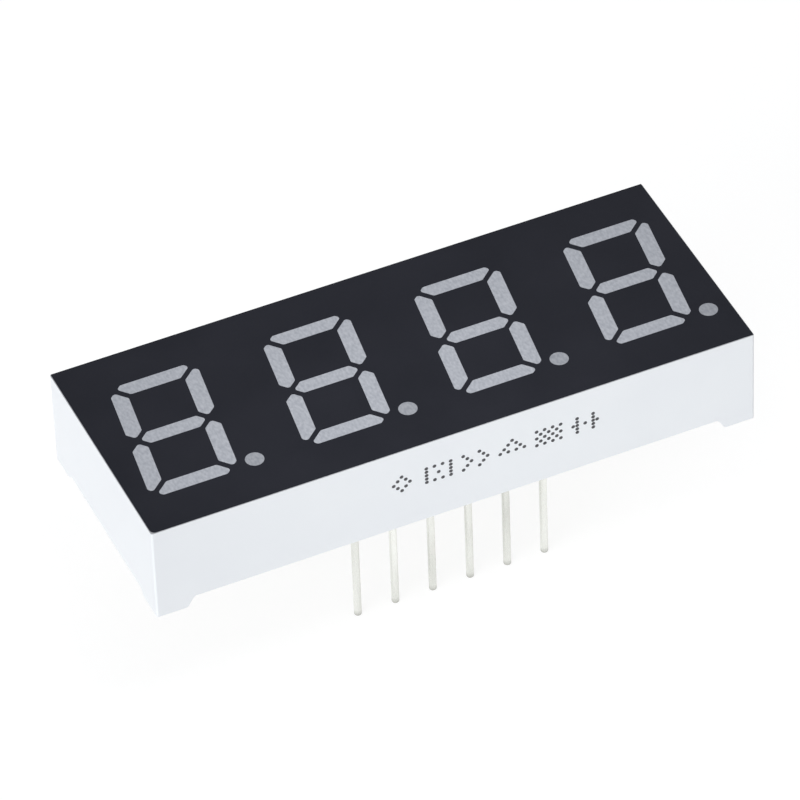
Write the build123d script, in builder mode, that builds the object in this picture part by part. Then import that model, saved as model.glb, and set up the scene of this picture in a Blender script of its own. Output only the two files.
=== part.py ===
from build123d import *
from math import cos, radians, sin, tan
import os

# Four-digit seven-segment LED display for through-hole mounting.
# Millimetres. The origin is the centre of the pin pattern in the seating plane, under the feet.
# +X runs along the row of digits, +Y is the top of a digit, +Z is the way the face looks.

# Housing
body_length = 40.2
body_width = 15.9
body_height = 6.9           # seating plane to the front of the ink
side_edge_radius = 0.15     # upright corners of the housing
top_edge_radius = 0.05
wall = 0.8                  # skirt round the board
cavity_corner_radius = 0.4
block_bottom = 3.2          # underside of the reflector block, above the seating plane
foot_length = 2.05          # each corner foot, along both walls
foot_slope = 0.45           # run of the slope from a foot up to the wall's lower edge
foot_slope_radius = 0.3     # at both ends of that slope
long_wall_relief = 0.75     # lower edge of the long walls, above the seating plane
end_wall_relief = 0.4       # lower edge of the end walls, above the seating plane

# Printed face
ink_thickness = 0.03
ink_margin = 0.01           # bare rim between the ink and the rounded top edge
ink_corner_radius = 0.15
first_corner_radius = 0.35  # the ink's corner next to pin 1

# Digits
digit_count = 4
digit_pitch = 10.16
digit_height = 10.16
digit_width = 5.84          # before the slant
slant_angle = 8.0           # degrees
side_stroke = 1.05          # segments b, c, e and f
bar_stroke = 1.02           # segments a, d and g
segment_gap = 0.36          # between the mitred ends of two segments
corner_cut = 0.82           # bevel on the digit's outer corners
window_corner_radius = 0.2
point_diameter = 1.18
point_right = 3.35          # decimal point's centre from the digit's centre
point_below = 4.62
segment_taper = 0.58        # size of a well's floor as a share of its window
point_taper = 0.82

# Chips and bond wires
chip_size = 0.3
chip_height = 0.2
segment_chip_shift = 0.4    # from the segment's centre, along the segment
point_chip_shift = 0.2
wire_diameter = 0.04
wire_rise = 0.2             # above the chip
wire_bend_radius = 0.08

# Board, copper and pins
board_thickness = 1.0
board_clearance = 0.1
board_corner_radius = 0.4
copper_thickness = 0.035
chip_pad_size = 0.5
bond_pad_size = 0.24
track_width = 0.2
bus_pitch = 0.8
bus_inset = 1.0             # from the board's ends to the ends of the long tracks
pins_per_row = 6
pin_pitch = 2.54
row_spacing = 12.7
pin_diameter = 0.5
pin_seat_growth = 0.06      # a staked pin is this much thicker at its head
pin_seat_start = 0.8        # where it begins to thicken, above the seating plane
pin_drop = 6.95             # tips below the seating plane
pin_tip_radius = 0.13
pin_head = 0.25             # above the board
pin_hole_clearance = 0.03   # round the head
pin_pad_diameter = 1.3
solder_diameter = 1.1
solder_height = 0.45
solder_collar = 0.06        # solder round the pin at the tip of its cone
relief_diameter = 1.2       # pocket over each pin head
relief_depth = 0.45

# Potting
potting_face = 1.0          # above the seating plane

# Worked out from the sizes above
ink_bottom = body_height - ink_thickness
board_top = block_bottom - copper_thickness
board_bottom = board_top - board_thickness
copper_back = board_bottom - copper_thickness
cavity_length = body_length - 2 * wall
cavity_width = body_width - 2 * wall
board_length = cavity_length - 2 * board_clearance
board_width = cavity_width - 2 * board_clearance
ink_length = body_length - 2 * (top_edge_radius + ink_margin)
ink_width = body_width - 2 * (top_edge_radius + ink_margin)
pin_seat_diameter = pin_diameter + pin_seat_growth
pin_hole_radius = pin_seat_diameter / 2 + pin_hole_clearance
letters = "abcdefg"
lean = tan(radians(slant_angle))

digit_centres = [((i - (digit_count - 1) / 2) * digit_pitch, 0) for i in range(digit_count)]
pin_places = [
    ((i - (pins_per_row - 1) / 2) * pin_pitch, side * row_spacing / 2)
    for side in (-1, 1)
    for i in range(pins_per_row)
]


def upright_outline(letter):
    """Corners of one segment about the digit's centre, before the digit is slanted."""
    half_width = digit_width / 2
    half_height = digit_height / 2
    half_bar = bar_stroke / 2
    inner = half_width - side_stroke
    middle = half_width - side_stroke / 2
    mitre = segment_gap / 2 ** 0.5
    bevel = half_width + half_height - corner_cut
    bar_mitre = half_height - half_width + mitre
    side_mitre = half_height - half_width - mitre
    if letter == "g":
        reach = middle - mitre
        right = [(reach - half_bar, -half_bar), (reach, 0), (reach - half_bar, half_bar)]
        return right + [(-x, -y) for x, y in right]
    if letter in "ad":
        right = [
            (half_height - bar_stroke - bar_mitre, half_height - bar_stroke),
            ((bevel - bar_mitre) / 2, (bevel + bar_mitre) / 2),
            (bevel - half_height, half_height),
        ]
        corners = right + [(-x, y) for x, y in reversed(right)]
    else:
        corners = [
            (middle, mitre),
            (half_width, mitre + side_stroke / 2),
            (half_width, bevel - half_width),
            ((bevel - side_mitre) / 2, (bevel + side_mitre) / 2),
            (inner, inner + side_mitre),
            (inner, mitre + side_stroke / 2),
        ]
    across = -1 if letter in "ef" else 1
    up = -1 if letter in "cde" else 1
    return [(across * x, up * y) for x, y in corners]


def lamp_centre(letter):
    """Centre of a segment, or of the decimal point, about the digit's centre."""
    if letter == "point":
        return point_right, -point_below
    corners = [(x + y * lean, y) for x, y in upright_outline(letter)]
    across = [x for x, y in corners]
    up = [y for x, y in corners]
    return (min(across) + max(across)) / 2, (min(up) + max(up)) / 2


def lamp_direction(letter):
    """Unit vector along a segment, from its chip to its bond pad."""
    if letter in "bcef":
        return sin(radians(slant_angle)), cos(radians(slant_angle))
    return 1, 0


def window(letter, digit_centre, height, share=1.0):
    """Outline of a lamp at a height. share shrinks it about the lamp's own centre."""
    lamp_x, lamp_y = lamp_centre(letter)
    x0 = digit_centre[0] + lamp_x
    y0 = digit_centre[1] + lamp_y
    with BuildSketch(Plane.XY.offset(height)) as shape:
        if letter == "point":
            with Locations((x0, y0)):
                Circle(point_diameter / 2 * share)
        else:
            corners = [(x + y * lean, y) for x, y in upright_outline(letter)]
            with BuildLine():
                Polyline(
                    *[(x0 + (x - lamp_x) * share, y0 + (y - lamp_y) * share) for x, y in corners],
                    close=True,
                )
            make_face()
            fillet(shape.vertices(), window_corner_radius * share)
    return shape.sketch


def well(letter, digit_centre):
    """Tapered light well from the front of the reflector block down to the board."""
    share = point_taper if letter == "point" else segment_taper
    with BuildPart() as shape:
        add(window(letter, digit_centre, block_bottom, share))
        add(window(letter, digit_centre, ink_bottom))
        loft(ruled=True)
    return shape.part


def neck(letter, digit_centre):
    """The part of a lamp's resin that stands in its window in the ink."""
    with BuildPart() as shape:
        add(window(letter, digit_centre, ink_bottom))
        extrude(amount=ink_thickness)
    return shape.part


def chip_place(letter, digit_centre, side):
    """Place of a lamp's chip (side -1) or of its bond pad (side 1)."""
    shift = point_chip_shift if letter == "point" else segment_chip_shift
    lamp_x, lamp_y = lamp_centre(letter)
    along_x, along_y = lamp_direction(letter)
    return (
        digit_centre[0] + lamp_x + side * shift * along_x,
        digit_centre[1] + lamp_y + side * shift * along_y,
    )


def chip(letter, digit_centre):
    with BuildPart() as shape:
        with BuildSketch(Plane.XY.offset(block_bottom)):
            with Locations(chip_place(letter, digit_centre, -1)):
                Rectangle(chip_size, chip_size)
        extrude(amount=chip_height)
    return shape.part


def bond_wire(letter, digit_centre):
    """Gold wire from the top of a chip, over and down to its bond pad."""
    start_x, start_y = chip_place(letter, digit_centre, -1)
    end_x, end_y = chip_place(letter, digit_centre, 1)
    chip_top = block_bottom + chip_height
    crest = chip_top + wire_rise
    with BuildPart() as shape:
        with BuildLine() as path:
            FilletPolyline(
                (start_x, start_y, chip_top),
                (start_x, start_y, crest),
                (end_x, end_y, crest),
                (end_x, end_y, block_bottom),
                radius=wire_bend_radius,
            )
        with BuildSketch(Plane.XY.offset(chip_top)):
            with Locations((start_x, start_y)):
                Circle(wire_diameter / 2)
        sweep(path=path.line)
    return shape.part


def save(shape, name):
    shape.label = name
    export_step(shape, f"parts/{name}.step")


os.makedirs("parts", exist_ok=True)

lamps = [(centre, letter) for centre in digit_centres for letter in [*letters, "point"]]
wells = [well(letter, centre) for centre, letter in lamps]
necks = [neck(letter, centre) for centre, letter in lamps]
chips = [chip(letter, centre) for centre, letter in lamps]
wires = [bond_wire(letter, centre) for centre, letter in lamps]

# Moulded reflector and housing: a block with the light wells, and a skirt that holds the board.
with BuildPart() as reflector_housing:
    with BuildSketch():
        RectangleRounded(body_length, body_width, side_edge_radius)
    extrude(amount=ink_bottom)
    fillet(reflector_housing.faces().sort_by(Axis.Z)[-1].edges(), top_edge_radius)
    with BuildSketch():
        RectangleRounded(cavity_length, cavity_width, cavity_corner_radius)
    extrude(amount=block_bottom, mode=Mode.SUBTRACT)
    with BuildSketch(Plane.XY.offset(block_bottom)):
        with Locations(*pin_places):
            Circle(relief_diameter / 2)
    extrude(amount=relief_depth, mode=Mode.SUBTRACT)
    for plane, span, relief, through in (
        (Plane.XZ, body_length, long_wall_relief, body_width),
        (Plane.YZ, body_width, end_wall_relief, body_length),
    ):
        foot_edge = span / 2 - foot_length
        with BuildSketch(plane) as notch:
            with BuildLine():
                Polyline(
                    (-span, -relief),
                    (-span, 0),
                    (-foot_edge, 0),
                    (-foot_edge + foot_slope, relief),
                    (foot_edge - foot_slope, relief),
                    (foot_edge, 0),
                    (span, 0),
                    (span, -relief),
                    close=True,
                )
            make_face()
            slope_ends = [corner for corner in notch.vertices() if abs(corner.X) < span / 2]
            fillet(slope_ends, foot_slope_radius)
        extrude(amount=through / 2, both=True, mode=Mode.SUBTRACT)
    for shape in wells:
        add(shape, mode=Mode.SUBTRACT)
save(reflector_housing.part, "reflector_housing")

# Black ink on the face, with a window for every lamp.
with BuildPart() as face_mask:
    with BuildSketch(Plane.XY.offset(ink_bottom)) as ink_outline:
        Rectangle(ink_length, ink_width)
        first_corner = ink_outline.vertices().sort_by_distance((-ink_length, -ink_width, 0))[0]
        other_corners = [corner for corner in ink_outline.vertices() if corner != first_corner]
        fillet(first_corner, first_corner_radius)
        fillet(other_corners, ink_corner_radius)
    extrude(amount=ink_thickness)
    for shape in necks:
        add(shape, mode=Mode.SUBTRACT)
save(face_mask.part, "face_mask")

# Milky resin that fills each well round its chip and wire.
for (centre, letter), shape, top, die, wire in zip(lamps, wells, necks, chips, wires):
    with BuildPart() as window_resin:
        add(shape)
        add(top)
        add(die, mode=Mode.SUBTRACT)
        add(wire, mode=Mode.SUBTRACT)
    digit = digit_centres.index(centre) + 1
    lamp = "decimal_point" if letter == "point" else f"segment_{letter}"
    save(window_resin.part, f"digit_{digit}_{lamp}")

# Chips and bond wires, one set for each digit.
for name, shapes in (("led_chips", chips), ("bond_wires", wires)):
    for digit, centre in enumerate(digit_centres, start=1):
        with BuildPart() as digit_set:
            for (lamp_digit, letter), shape in zip(lamps, shapes):
                if lamp_digit == centre:
                    add(shape)
        save(digit_set.part, f"{name}_digit_{digit}")

# Circuit board, drilled for the pins.
with BuildPart() as circuit_board:
    with BuildSketch(Plane.XY.offset(board_bottom)):
        RectangleRounded(board_length, board_width, board_corner_radius)
        with Locations(*pin_places):
            Circle(pin_hole_radius, mode=Mode.SUBTRACT)
    extrude(amount=board_thickness)
save(circuit_board.part, "circuit_board")

# Copper on the front: a pad under every chip and every bond wire.
with BuildPart() as copper_tracks_front:
    with BuildSketch(Plane.XY.offset(board_top)):
        for centre, letter in lamps:
            with Locations(chip_place(letter, centre, -1)):
                Rectangle(chip_pad_size, chip_pad_size)
            with Locations(chip_place(letter, centre, 1)):
                Rectangle(bond_pad_size, bond_pad_size)
    extrude(amount=copper_thickness)
save(copper_tracks_front.part, "copper_tracks_front")

# Copper on the back: long tracks between the pin rows, and a ring at every pin.
with BuildPart() as copper_tracks_back:
    with BuildSketch(Plane.XY.offset(copper_back)):
        with GridLocations(0, bus_pitch, 1, digit_count + len(letters) + 1):
            Rectangle(board_length - 2 * bus_inset, track_width)
        with Locations(*pin_places):
            Circle(pin_pad_diameter / 2)
            Circle(pin_hole_radius, mode=Mode.SUBTRACT)
    extrude(amount=copper_thickness)
save(copper_tracks_back.part, "copper_tracks_back")

# Tinned round pins with rounded tips, a little thicker towards the head.
pins = []
for x, y in pin_places:
    with BuildPart() as pin:
        with BuildSketch(Plane.XY.offset(-pin_drop)):
            with Locations((x, y)):
                Circle(pin_diameter / 2)
        extrude(amount=pin_drop + pin_seat_start)
        fillet(pin.edges().sort_by(Axis.Z)[0], pin_tip_radius)
        with Locations((x, y, pin_seat_start)):
            Cone(
                pin_diameter / 2,
                pin_seat_diameter / 2,
                board_top + pin_head - pin_seat_start,
                align=(Align.CENTER, Align.CENTER, Align.MIN),
            )
    pins.append(pin.part)

# Pins are numbered anticlockwise from the lower left, seen from the front.
front_row = pins[:pins_per_row]
back_row = pins[pins_per_row:]
for number, shape in enumerate(front_row + back_row[::-1], start=1):
    save(shape, f"pin_{number:02d}")

# Solder cones on the back of the board, bored for the pins.
with BuildPart() as solder_joints:
    for x, y in pin_places:
        with Locations((x, y, copper_back - solder_height)):
            Cone(
                pin_diameter / 2 + solder_collar,
                solder_diameter / 2,
                solder_height,
                align=(Align.CENTER, Align.CENTER, Align.MIN),
            )
    for shape in pins:
        add(shape, mode=Mode.SUBTRACT)
save(solder_joints.part, "solder_joints")

# Resin poured in from the back: it covers the board and holds the pins.
with BuildPart() as potting_resin:
    with BuildSketch(Plane.XY.offset(potting_face)):
        RectangleRounded(cavity_length, cavity_width, cavity_corner_radius)
    extrude(amount=block_bottom - potting_face)
    with BuildSketch(Plane.XY.offset(block_bottom)):
        with Locations(*pin_places):
            Circle(relief_diameter / 2)
    extrude(amount=relief_depth)
    embedded = (circuit_board, copper_tracks_front, copper_tracks_back, solder_joints)
    for shape in [*(holder.part for holder in embedded), *pins]:
        add(shape, mode=Mode.SUBTRACT)
save(potting_resin.part, "potting_resin")
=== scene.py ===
from math import cos, pi, radians, sin

import bmesh
import bpy
from mathutils import Matrix, Vector


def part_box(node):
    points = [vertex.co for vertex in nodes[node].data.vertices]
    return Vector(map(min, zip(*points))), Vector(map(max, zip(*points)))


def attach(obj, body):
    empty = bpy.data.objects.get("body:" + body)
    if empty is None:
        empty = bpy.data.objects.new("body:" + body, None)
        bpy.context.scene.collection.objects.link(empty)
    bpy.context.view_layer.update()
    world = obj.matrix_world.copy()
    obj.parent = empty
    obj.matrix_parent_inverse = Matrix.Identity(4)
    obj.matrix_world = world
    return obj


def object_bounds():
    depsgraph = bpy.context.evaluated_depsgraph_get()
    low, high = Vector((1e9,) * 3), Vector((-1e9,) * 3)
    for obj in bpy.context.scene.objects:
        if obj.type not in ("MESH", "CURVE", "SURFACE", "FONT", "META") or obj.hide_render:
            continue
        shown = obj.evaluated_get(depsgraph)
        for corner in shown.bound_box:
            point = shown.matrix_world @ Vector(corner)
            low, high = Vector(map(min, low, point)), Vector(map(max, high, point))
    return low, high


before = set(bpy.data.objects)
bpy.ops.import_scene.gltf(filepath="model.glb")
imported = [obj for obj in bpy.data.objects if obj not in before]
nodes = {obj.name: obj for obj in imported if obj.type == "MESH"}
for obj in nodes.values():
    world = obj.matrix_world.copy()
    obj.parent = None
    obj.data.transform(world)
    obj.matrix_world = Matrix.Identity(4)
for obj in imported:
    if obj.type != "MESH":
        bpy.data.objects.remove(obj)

cad_low, cad_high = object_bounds()

MM = 0.001
housing_low, housing_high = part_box("reflector_housing")
face_low, face_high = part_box("face_mask")
potting_low, potting_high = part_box("potting_resin")
pin_names = sorted(name for name in nodes if name.startswith("pin_"))
floor_height = cad_low[2]     # the pins' tips


# Materials

def new_material(name):
    """An empty Principled material: (material, its nodes, its links, the shader)."""
    material = bpy.data.materials.new(name)
    material.use_nodes = True
    tree = material.node_tree
    return material, tree.nodes, tree.links, tree.nodes["Principled BSDF"]


def noise(tree_nodes, links, size, detail, stretch):
    """Noise in the row frame, about size metres across. A stretch under 1 lengthens it on that axis."""
    place = tree_nodes.new("ShaderNodeTexCoord")
    mapping = tree_nodes.new("ShaderNodeMapping")
    mapping.inputs["Scale"].default_value = stretch
    texture = tree_nodes.new("ShaderNodeTexNoise")
    texture.inputs["Scale"].default_value = 1 / size
    texture.inputs["Detail"].default_value = detail
    links.new(place.outputs["Object"], mapping.inputs["Vector"])
    links.new(mapping.outputs["Vector"], texture.inputs["Vector"])
    return texture.outputs["Fac"]


# Nearly all of a noise texture's values lie between these two.
noise_low, noise_high = 0.3, 0.7
# A colour goes from its low to its high tone between these two.
tone_low, tone_high = 0.32, 0.68


def spread(tree_nodes, links, value, low, high):
    """Maps the middle of a noise value to the range low to high."""
    span = tree_nodes.new("ShaderNodeMapRange")
    span.inputs["From Min"].default_value = noise_low
    span.inputs["From Max"].default_value = noise_high
    span.inputs["To Min"].default_value = low
    span.inputs["To Max"].default_value = high
    links.new(value, span.inputs["Value"])
    return span.outputs["Result"]


def blend_colours(tree_nodes, links, value, low, high):
    """A colour from low to high, as a noise value goes through its middle."""
    ramp = tree_nodes.new("ShaderNodeValToRGB")
    ramp.color_ramp.elements[0].position = tone_low
    ramp.color_ramp.elements[0].color = (*low, 1)
    ramp.color_ramp.elements[1].position = tone_high
    ramp.color_ramp.elements[1].color = (*high, 1)
    links.new(value, ramp.inputs["Fac"])
    return ramp.outputs["Color"]


def bump(tree_nodes, links, shader, value, height):
    """Surface relief of the given height in metres."""
    relief = tree_nodes.new("ShaderNodeBump")
    relief.inputs["Strength"].default_value = 1.0
    relief.inputs["Distance"].default_value = height
    links.new(value, relief.inputs["Height"])
    links.new(relief.outputs["Normal"], shader.inputs["Normal"])


patch_detail = 3.0
grain_detail = 2.0


def surface(name, low, high, patch, roughness, grain, relief, stretch=(1, 1, 1), **sockets):
    """A material whose colour, roughness and relief vary.

    low and high are its two colours, patch is the size of a patch of colour, roughness is a pair,
    grain is the size of the relief's features and relief is their height. sockets are values set
    directly on the shader, with _ for a space in their names.
    """
    material, tree_nodes, links, shader = new_material(name)
    patches = noise(tree_nodes, links, patch, patch_detail, stretch)
    grains = noise(tree_nodes, links, grain, grain_detail, stretch)
    links.new(blend_colours(tree_nodes, links, patches, low, high), shader.inputs["Base Color"])
    links.new(spread(tree_nodes, links, grains, *roughness), shader.inputs["Roughness"])
    bump(tree_nodes, links, shader, grains, relief)
    for socket, value in sockets.items():
        shader.inputs[socket.replace("_", " ")].default_value = value
    return material


def tint_by_height(material, colour, start, end, share):
    """Mixes a colour into a material, from none at height start to share of it at height end."""
    tree_nodes, links = material.node_tree.nodes, material.node_tree.links
    base = tree_nodes["Principled BSDF"].inputs["Base Color"]
    place = tree_nodes.new("ShaderNodeTexCoord")
    axes = tree_nodes.new("ShaderNodeSeparateXYZ")
    span = tree_nodes.new("ShaderNodeMapRange")
    span.inputs["From Min"].default_value = start
    span.inputs["From Max"].default_value = end
    span.inputs["To Max"].default_value = share
    mix = tree_nodes.new("ShaderNodeMixRGB")
    mix.inputs["Color2"].default_value = (*colour, 1)
    links.new(place.outputs["Object"], axes.inputs["Vector"])
    links.new(axes.outputs["Z"], span.inputs["Value"])
    links.new(span.outputs["Result"], mix.inputs["Fac"])
    links.new(base.links[0].from_socket, mix.inputs["Color1"])
    links.new(mix.outputs["Color"], base)


housing_plastic = surface(
    "housing_plastic", (0.875, 0.9, 0.935), (0.895, 0.92, 0.95), 6 * MM,
    (0.42, 0.52), 0.09 * MM, 0.0012 * MM,
)
# The housing's colour darkens towards near black over a thin band just below the face, on its rounded
# top edge.
top_edge_dark_band = 0.045 * MM
tint_by_height(housing_plastic, (0.1, 0.1, 0.11), face_low.z - top_edge_dark_band, face_low.z, 0.7)
face_ink = surface(
    "face_ink", (0.0138, 0.0148, 0.0208), (0.0176, 0.0186, 0.0256), 6 * MM,
    (0.5, 0.6), 0.12 * MM, 0.001 * MM,
    Specular_IOR_Level=0.05,
)
segment_resin = surface(
    "segment_resin", (0.322, 0.338, 0.38), (0.432, 0.448, 0.49), 0.16 * MM,
    (0.32, 0.42), 0.15 * MM, 0.001 * MM, (1, 0.5, 1),
    Specular_IOR_Level=0.3,
)
point_resin = surface(
    "point_resin", (0.245, 0.257, 0.29), (0.335, 0.347, 0.38), 0.16 * MM,
    (0.32, 0.42), 0.15 * MM, 0.001 * MM, (1, 0.5, 1),
    Specular_IOR_Level=0.3,
)
side_mark_ink = surface(
    "side_mark_ink", (0.05, 0.05, 0.056), (0.09, 0.09, 0.097), 0.2 * MM,
    (0.55, 0.7), 0.05 * MM, 0.001 * MM,
)
tinned_wire = surface(
    "tinned_wire", (0.68, 0.69, 0.65), (0.9, 0.91, 0.87), 1.2 * MM,
    (0.22, 0.34), 0.12 * MM, 0.003 * MM, (1, 1, 0.15),
    Metallic=1.0,
)
# The sheared tips are duller than the plated sides.
dull_tip = 0.5 * MM
tint_by_height(tinned_wire, (0.4, 0.4, 0.37), floor_height + dull_tip, floor_height, 0.8)
potting_surface = surface(
    "potting_surface", (0.66, 0.66, 0.62), (0.74, 0.74, 0.7), 3 * MM,
    (0.12, 0.2), 2.5 * MM, 0.02 * MM,
    Coat_Weight=0.3,
)
board_laminate = surface(
    "board_laminate", (0.5, 0.44, 0.25), (0.62, 0.55, 0.34), 0.4 * MM,
    (0.45, 0.6), 0.2 * MM, 0.004 * MM,
)
etched_copper = surface(
    "etched_copper", (0.72, 0.36, 0.2), (0.83, 0.46, 0.28), 0.3 * MM,
    (0.3, 0.45), 0.05 * MM, 0.001 * MM,
    Metallic=1.0,
)
chip_crystal = surface(
    "chip_crystal", (0.2, 0.18, 0.16), (0.34, 0.31, 0.27), 0.08 * MM,
    (0.2, 0.35), 0.03 * MM, 0.0005 * MM,
)
gold_bond_wire = surface(
    "gold_bond_wire", (0.85, 0.62, 0.22), (0.95, 0.72, 0.3), 0.1 * MM,
    (0.2, 0.3), 0.02 * MM, 0.0005 * MM,
    Metallic=1.0,
)
soft_solder = surface(
    "soft_solder", (0.55, 0.56, 0.57), (0.7, 0.71, 0.72), 0.15 * MM,
    (0.25, 0.4), 0.08 * MM, 0.003 * MM,
    Metallic=1.0,
)

finishes = {
    "reflector_housing": housing_plastic,
    "face_mask": face_ink,
    "digit": segment_resin,
    "circuit_board": board_laminate,
    "copper_tracks": etched_copper,
    "led_chips": chip_crystal,
    "bond_wires": gold_bond_wire,
    "pin": tinned_wire,
    "solder_joints": soft_solder,
    "potting_resin": potting_surface,
}
for name, piece in nodes.items():
    finish = next(finishes[start] for start in finishes if name.startswith(start))
    if name.endswith("decimal_point"):
        finish = point_resin
    piece.data.materials.clear()
    piece.data.materials.append(finish)


# Added pieces

def new_piece(name, mesh, material):
    """Links a finished bmesh as a piece that rides on the part."""
    data = bpy.data.meshes.new(name)
    bmesh.ops.recalc_face_normals(mesh, faces=mesh.faces)
    mesh.to_mesh(data)
    mesh.free()
    data.materials.append(material)
    piece = bpy.data.objects.new(name, data)
    bpy.context.scene.collection.objects.link(piece)
    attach(piece, "root")
    return piece


def join_rings(mesh, rings, closed=False):
    """Quads between neighbouring rings of vertices. closed also joins the last ring to the first."""
    pairs = list(zip(rings, rings[1:]))
    if closed:
        pairs.append((rings[-1], rings[0]))
    for ring, following in pairs:
        for i in range(len(ring)):
            j = (i + 1) % len(ring)
            mesh.faces.new((ring[i], ring[j], following[j], following[i]))


def smooth(piece):
    for polygon in piece.data.polygons:
        polygon.use_smooth = True


# Six printed marks of dots on the front wall. Each is a plain figure, not a character.
mark_patterns = (
    ("...#...", "..#.#..", ".#...#.", "..#.#..", "...#..."),
    ("#.#.#.#", "#.....#", "#..#..#", "#.....#", "#.#.#.#"),
    ("#...#..", ".#...#.", "..#...#", ".#...#.", "#...#.."),
    ("...#...", "..#.#..", ".#...#.", "#.#.#.#", "......."),
    ("#.#.#.#", ".#.#.#.", "#.#.#.#", ".#.#.#.", "#.#.#.#"),
    (".#...#.", ".#...#.", "##.#.##", ".#...#.", ".#...#."),
)
mark_left = 15.55 * MM         # from the housing's left end to the first mark
mark_top = 2.08 * MM           # from the face down to the top row of dots
mark_pitch = 2.46 * MM
dot_across = 0.27 * MM
dot_down = 0.28 * MM
dot_radius = 0.125 * MM
dot_thickness = 0.012 * MM
dot_rim = 0.93                 # the dot's outer face as a share of its footprint
dot_sides = 20


def circle(centre_across, centre_up, radius, sides):
    """Points round a circle, anticlockwise."""
    turns = [2 * pi * i / sides for i in range(sides)]
    return [(centre_across + radius * cos(t), centre_up + radius * sin(t)) for t in turns]


def printed_mark(number, pattern):
    mesh = bmesh.new()
    left = housing_low.x + mark_left + number * mark_pitch
    top = face_high.z - mark_top
    wall = housing_low.y
    for row, line in enumerate(pattern):
        for column, cell in enumerate(line):
            if cell != "#":
                continue
            x = left + column * dot_across
            z = top - row * dot_down
            rings = []
            for y, radius in ((wall, dot_radius), (wall - dot_thickness, dot_radius * dot_rim)):
                points = circle(x, z, radius, dot_sides)
                rings.append([mesh.verts.new((across, y, up)) for across, up in points])
            join_rings(mesh, rings)
            mesh.faces.new(rings[0])
            mesh.faces.new(rings[1])
    new_piece(f"printed_mark_{number + 1}", mesh, side_mark_ink)


for number, pattern in enumerate(mark_patterns):
    printed_mark(number, pattern)


# Resin that has crept up the pins and the skirt before it set. The potting's face looks down.
# Each point is millimetres out from the pin or the skirt, and millimetres down from that face.
creep_profile = (
    (0.0, 0.26),
    (0.03, 0.16),
    (0.08, 0.085),
    (0.16, 0.03),
    (0.3, 0.0),
)
creep_sides = 32
potting_face = potting_low.z
skirt_corner = 0.4 * MM
least_corner = 0.02 * MM
sunk = 0.05 * MM               # how far the crept resin reaches back into the potting


def creep_outline(start):
    """Section of the crept resin: a closed loop of distance out from start, and height."""
    outline = [(start + out * MM, potting_face - down * MM) for out, down in creep_profile]
    outline.append((outline[-1][0], potting_face + sunk))
    outline.append((start, potting_face + sunk))
    return outline


def pin_collar(name):
    low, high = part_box(name)
    centre = (low + high) / 2
    pin_radius = (high.x - low.x) / 2
    mesh = bmesh.new()
    rings = []
    for radius, z in creep_outline(pin_radius):
        points = circle(centre.x, centre.y, radius, creep_sides)
        rings.append([mesh.verts.new((x, y, z)) for x, y in points])
    join_rings(mesh, rings, closed=True)
    piece = new_piece(f"resin_collar_{name}", mesh, potting_surface)
    smooth(piece)


def rounded_rectangle(half_length, half_width, radius, steps=8):
    """Points round a rectangle with round corners, anticlockwise."""
    points = []
    for quarter, (across, up) in enumerate(((1, 1), (-1, 1), (-1, -1), (1, -1))):
        for i in range(steps + 1):
            turn = (quarter + i / steps) * pi / 2
            points.append((
                across * (half_length - radius) + radius * cos(turn),
                up * (half_width - radius) + radius * sin(turn),
            ))
    return points


def skirt_creep():
    half_length = (potting_high.x - potting_low.x) / 2
    half_width = (potting_high.y - potting_low.y) / 2
    mesh = bmesh.new()
    rings = []
    for inset, z in creep_outline(0.0):
        radius = max(skirt_corner - inset, least_corner)
        points = rounded_rectangle(half_length - inset, half_width - inset, radius)
        rings.append([mesh.verts.new((x, y, z)) for x, y in points])
    join_rings(mesh, rings, closed=True)
    piece = new_piece("resin_edge", mesh, potting_surface)
    smooth(piece)


for name in pin_names:
    pin_collar(name)
skirt_creep()


# Camera

target = Vector((-0.37, -0.22, 3.45)) * MM
camera_azimuth = radians(-22.89)       # from straight in front, towards +X
camera_elevation = radians(42.32)
camera_roll = radians(-2.35)
camera_distance = 450.4 * MM
camera_data = bpy.data.cameras.new("camera")
camera_data.sensor_width = 36.0
camera_data.lens = 329.75
camera_data.clip_start = 0.01
camera_data.clip_end = 100.0
camera = bpy.data.objects.new("camera", camera_data)
outward = Vector((
    sin(camera_azimuth) * cos(camera_elevation),
    -cos(camera_azimuth) * cos(camera_elevation),
    sin(camera_elevation),
))
camera_place = target + outward * camera_distance
aim = (-outward).to_track_quat("-Z", "Y").to_matrix()
turned = aim @ Matrix.Rotation(camera_roll, 3, "Z")
camera.matrix_world = Matrix.Translation(camera_place) @ turned.to_4x4()
bpy.context.scene.collection.objects.link(camera)
bpy.context.scene.camera = camera


# Floor, world and lamps

def camera_side(tree_nodes, links):
    """1 for rays that reach the camera straight, in a reflection or through a clear piece."""
    path = tree_nodes.new("ShaderNodeLightPath")
    first = tree_nodes.new("ShaderNodeMath")
    first.operation = "MAXIMUM"
    links.new(path.outputs["Is Camera Ray"], first.inputs[0])
    links.new(path.outputs["Is Glossy Ray"], first.inputs[1])
    second = tree_nodes.new("ShaderNodeMath")
    second.operation = "MAXIMUM"
    links.new(first.outputs[0], second.inputs[0])
    links.new(path.outputs["Is Transmission Ray"], second.inputs[1])
    return second.outputs[0]


floor_reach = 3.0
floor_colour = (0.82, 0.82, 0.82, 1)   # as it lights the object
seen_colour = (0.3, 0.3, 0.3, 1)       # its part of what the camera sees, which keeps the shadow
seen_glow = 0.8                        # the rest of what the camera sees
fill_colour = (0.97, 0.985, 1.0, 1)
fill_strength = 0.5

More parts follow.
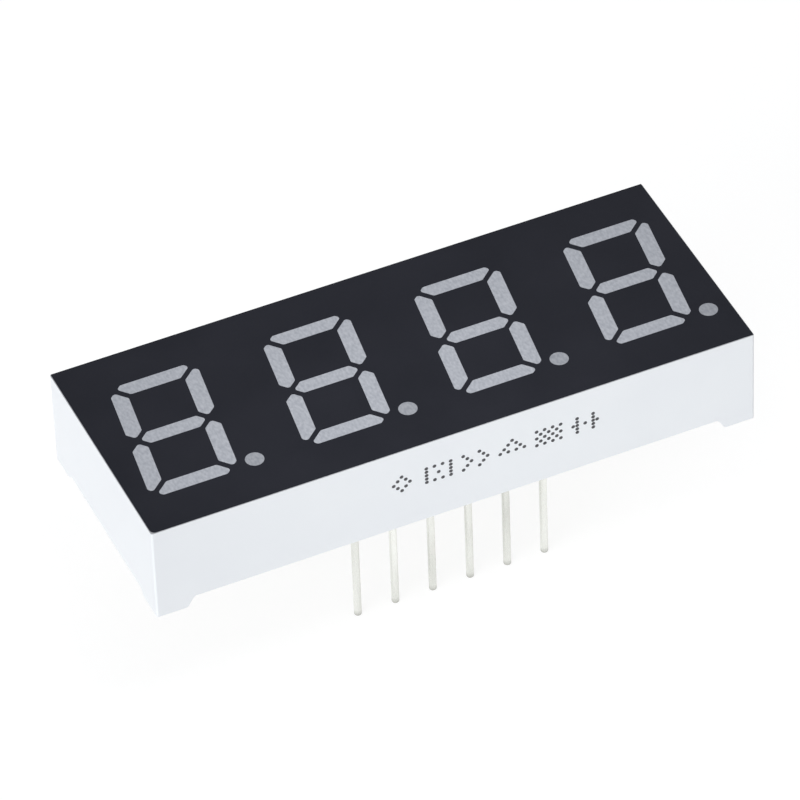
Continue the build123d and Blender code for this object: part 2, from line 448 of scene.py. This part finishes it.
floor_data = bpy.data.meshes.new("floor")
square = ((-1, -1), (1, -1), (1, 1), (-1, 1))
corners = [(x * floor_reach, y * floor_reach, floor_height) for x, y in square]
floor_data.from_pydata(corners, [], [(0, 1, 2, 3)])
floor = bpy.data.objects.new("floor", floor_data)
bpy.context.scene.collection.objects.link(floor)
floor_paper = bpy.data.materials.new("floor_paper")
floor_paper.use_nodes = True
paper_nodes = floor_paper.node_tree.nodes
paper_links = floor_paper.node_tree.links
paper_nodes.clear()
paper = paper_nodes.new("ShaderNodeBsdfDiffuse")
paper.inputs["Color"].default_value = floor_colour
seen_paper = paper_nodes.new("ShaderNodeBsdfDiffuse")
seen_paper.inputs["Color"].default_value = seen_colour
glow = paper_nodes.new("ShaderNodeEmission")
glow.inputs["Strength"].default_value = seen_glow
seen = paper_nodes.new("ShaderNodeAddShader")
paper_links.new(seen_paper.outputs[0], seen.inputs[0])
paper_links.new(glow.outputs[0], seen.inputs[1])
chosen = paper_nodes.new("ShaderNodeMixShader")
paper_links.new(camera_side(paper_nodes, paper_links), chosen.inputs[0])
paper_links.new(paper.outputs[0], chosen.inputs[1])
paper_links.new(seen.outputs[0], chosen.inputs[2])
paper_out = paper_nodes.new("ShaderNodeOutputMaterial")
paper_links.new(chosen.outputs[0], paper_out.inputs["Surface"])
floor_data.materials.append(floor_paper)

world = bpy.data.worlds.new("studio")
bpy.context.scene.world = world
world.use_nodes = True
world_nodes = world.node_tree.nodes
world_links = world.node_tree.links
world_nodes.clear()
white = world_nodes.new("ShaderNodeBackground")
white.inputs["Strength"].default_value = 1.0
white.inputs["Color"].default_value = (1, 1, 1, 1)
fill_light = world_nodes.new("ShaderNodeBackground")
fill_light.inputs["Color"].default_value = fill_colour
fill_light.inputs["Strength"].default_value = fill_strength
world_mix = world_nodes.new("ShaderNodeMixShader")
world_links.new(camera_side(world_nodes, world_links), world_mix.inputs[0])
world_links.new(fill_light.outputs[0], world_mix.inputs[1])
world_links.new(white.outputs[0], world_mix.inputs[2])
world_out = world_nodes.new("ShaderNodeOutputWorld")
world_links.new(world_mix.outputs[0], world_out.inputs["Surface"])


def sun(name, toward, strength, softness):
    """A soft far lamp. toward points from the object to the lamp. softness is in degrees."""
    lamp = bpy.data.lights.new(name, "SUN")
    lamp.energy = strength
    lamp.angle = radians(softness)
    holder = bpy.data.objects.new(name, lamp)
    holder.rotation_euler = Vector(toward).to_track_quat("Z", "Y").to_euler()
    bpy.context.scene.collection.objects.link(holder)


def panel(name, place, size, power):
    """A square soft box that faces straight down. The camera doesn't see it."""
    lamp = bpy.data.lights.new(name, "AREA")
    lamp.shape = "SQUARE"
    lamp.size = size
    lamp.energy = power
    holder = bpy.data.objects.new(name, lamp)
    holder.location = place
    holder.visible_camera = False
    bpy.context.scene.collection.objects.link(holder)


sun("key_light", (-0.63, -0.42, 0.1), 2.5, 50)
sun("back_fill", (0.57, 0.38, 0.1), 0.9, 60)
panel("near_light", (-2 * MM, -9 * MM, 37 * MM), 24 * MM, 0.005)

bpy.context.scene.view_settings.view_transform = "Standard"
